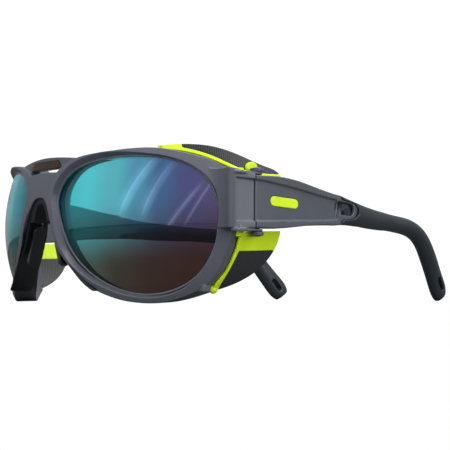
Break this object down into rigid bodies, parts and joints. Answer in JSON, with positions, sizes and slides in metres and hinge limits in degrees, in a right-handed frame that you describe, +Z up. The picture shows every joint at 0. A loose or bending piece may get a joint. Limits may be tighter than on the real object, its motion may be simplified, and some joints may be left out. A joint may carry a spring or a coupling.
{
  "type": "glacier glasses",
  "caption": "Wrap-around glacier glasses with mirrored lenses, hinged temples with soft tips, clip-on side shields and a soft nose piece.",
  "frame": {"origin": "middle of the box, at the lowest point of the rims and temple tips", "axes": "+X to the wearer's left, +Y towards the back of the head, +Z up"},
  "size_m": [0.15, 0.1605, 0.0531],
  "materials": {
    "frame_grey": "satin slate grey",
    "badge_bronze": "satin bronze brown",
    "lens_mirror": "mirror coated, turquoise to indigo over brown",
    "hinge_steel": "ground",
    "hinge_cap": "satin slate grey",
    "temple_grey": "satin slate grey",
    "lime_plastic": "semi gloss lime",
    "core_steel": "ground",
    "tip_rubber": "matte blue black",
    "lime_shield": "semi gloss lime",
    "panel_rubber": "matte, finely ribbed",
    "liner_rubber": "matte",
    "pad_rubber": "glossy soft rubber",
    "pad_wire": "bent wire strip"
  },
  "bodies": {
    "front": {"frame_front": "frame_grey", "badge_plate": "badge_bronze", "nose_liner": "liner_rubber", "lens_left": "lens_mirror", "lens_right": "lens_mirror", "hinge_pin_left": "hinge_steel", "hinge_pin_right": "hinge_steel", "hinge_cap_upper_left": "hinge_cap", "hinge_cap_upper_right": "hinge_cap", "hinge_cap_lower_left": "hinge_cap", "hinge_cap_lower_right": "hinge_cap"},
    "temple_arm_left": {"temple_left": "temple_grey", "temple_inlay_left": "lime_plastic", "tip_core_left": "core_steel", "tip_sleeve_left": "tip_rubber"},
    "temple_arm_right": {"temple_right": "temple_grey", "temple_inlay_right": "lime_plastic", "tip_core_right": "core_steel", "tip_sleeve_right": "tip_rubber"},
    "side_shield_left": {"shield_carrier_left": "lime_shield", "shield_panel_upper_left": "panel_rubber", "shield_panel_lower_left": "panel_rubber"},
    "side_shield_right": {"shield_carrier_right": "lime_shield", "shield_panel_upper_right": "panel_rubber", "shield_panel_lower_right": "panel_rubber"},
    "nose_pad_arm_left": {"nose_pad_left": "pad_rubber", "nose_pad_wire_left": "pad_wire"},
    "nose_pad_arm_right": {"nose_pad_right": "pad_rubber", "nose_pad_wire_right": "pad_wire"}
  },
  "joints": [
    {"name": "temple_fold_left", "type": "hinge", "parent": "front", "child": "temple_arm_left", "pos_m": [0.0724, -0.03945, 0.0333], "axis": [0, 0, 1], "range_deg": [0, 83]},
    {"name": "temple_fold_right", "type": "hinge", "parent": "front", "child": "temple_arm_right", "pos_m": [-0.0724, -0.03945, 0.0333], "axis": [0, 0, -1], "range_deg": [0, 75]},
    {"name": "shield_clip_left", "type": "slide", "parent": "front", "child": "side_shield_left", "axis": [0, -1, 0], "range_m": [-0.006, 0]},
    {"name": "shield_clip_right", "type": "slide", "parent": "front", "child": "side_shield_right", "axis": [0, -1, 0], "range_m": [-0.006, 0]},
    {"name": "nose_pad_bend_left", "type": "hinge", "parent": "front", "child": "nose_pad_arm_left", "pos_m": [0.00556, -0.07525, 0.02969], "axis": [0, 1, 0], "range_deg": [0, 8]},
    {"name": "nose_pad_bend_right", "type": "hinge", "parent": "front", "child": "nose_pad_arm_right", "pos_m": [-0.00556, -0.07525, 0.02969], "axis": [0, -1, 0], "range_deg": [0, 8]}
  ]
}
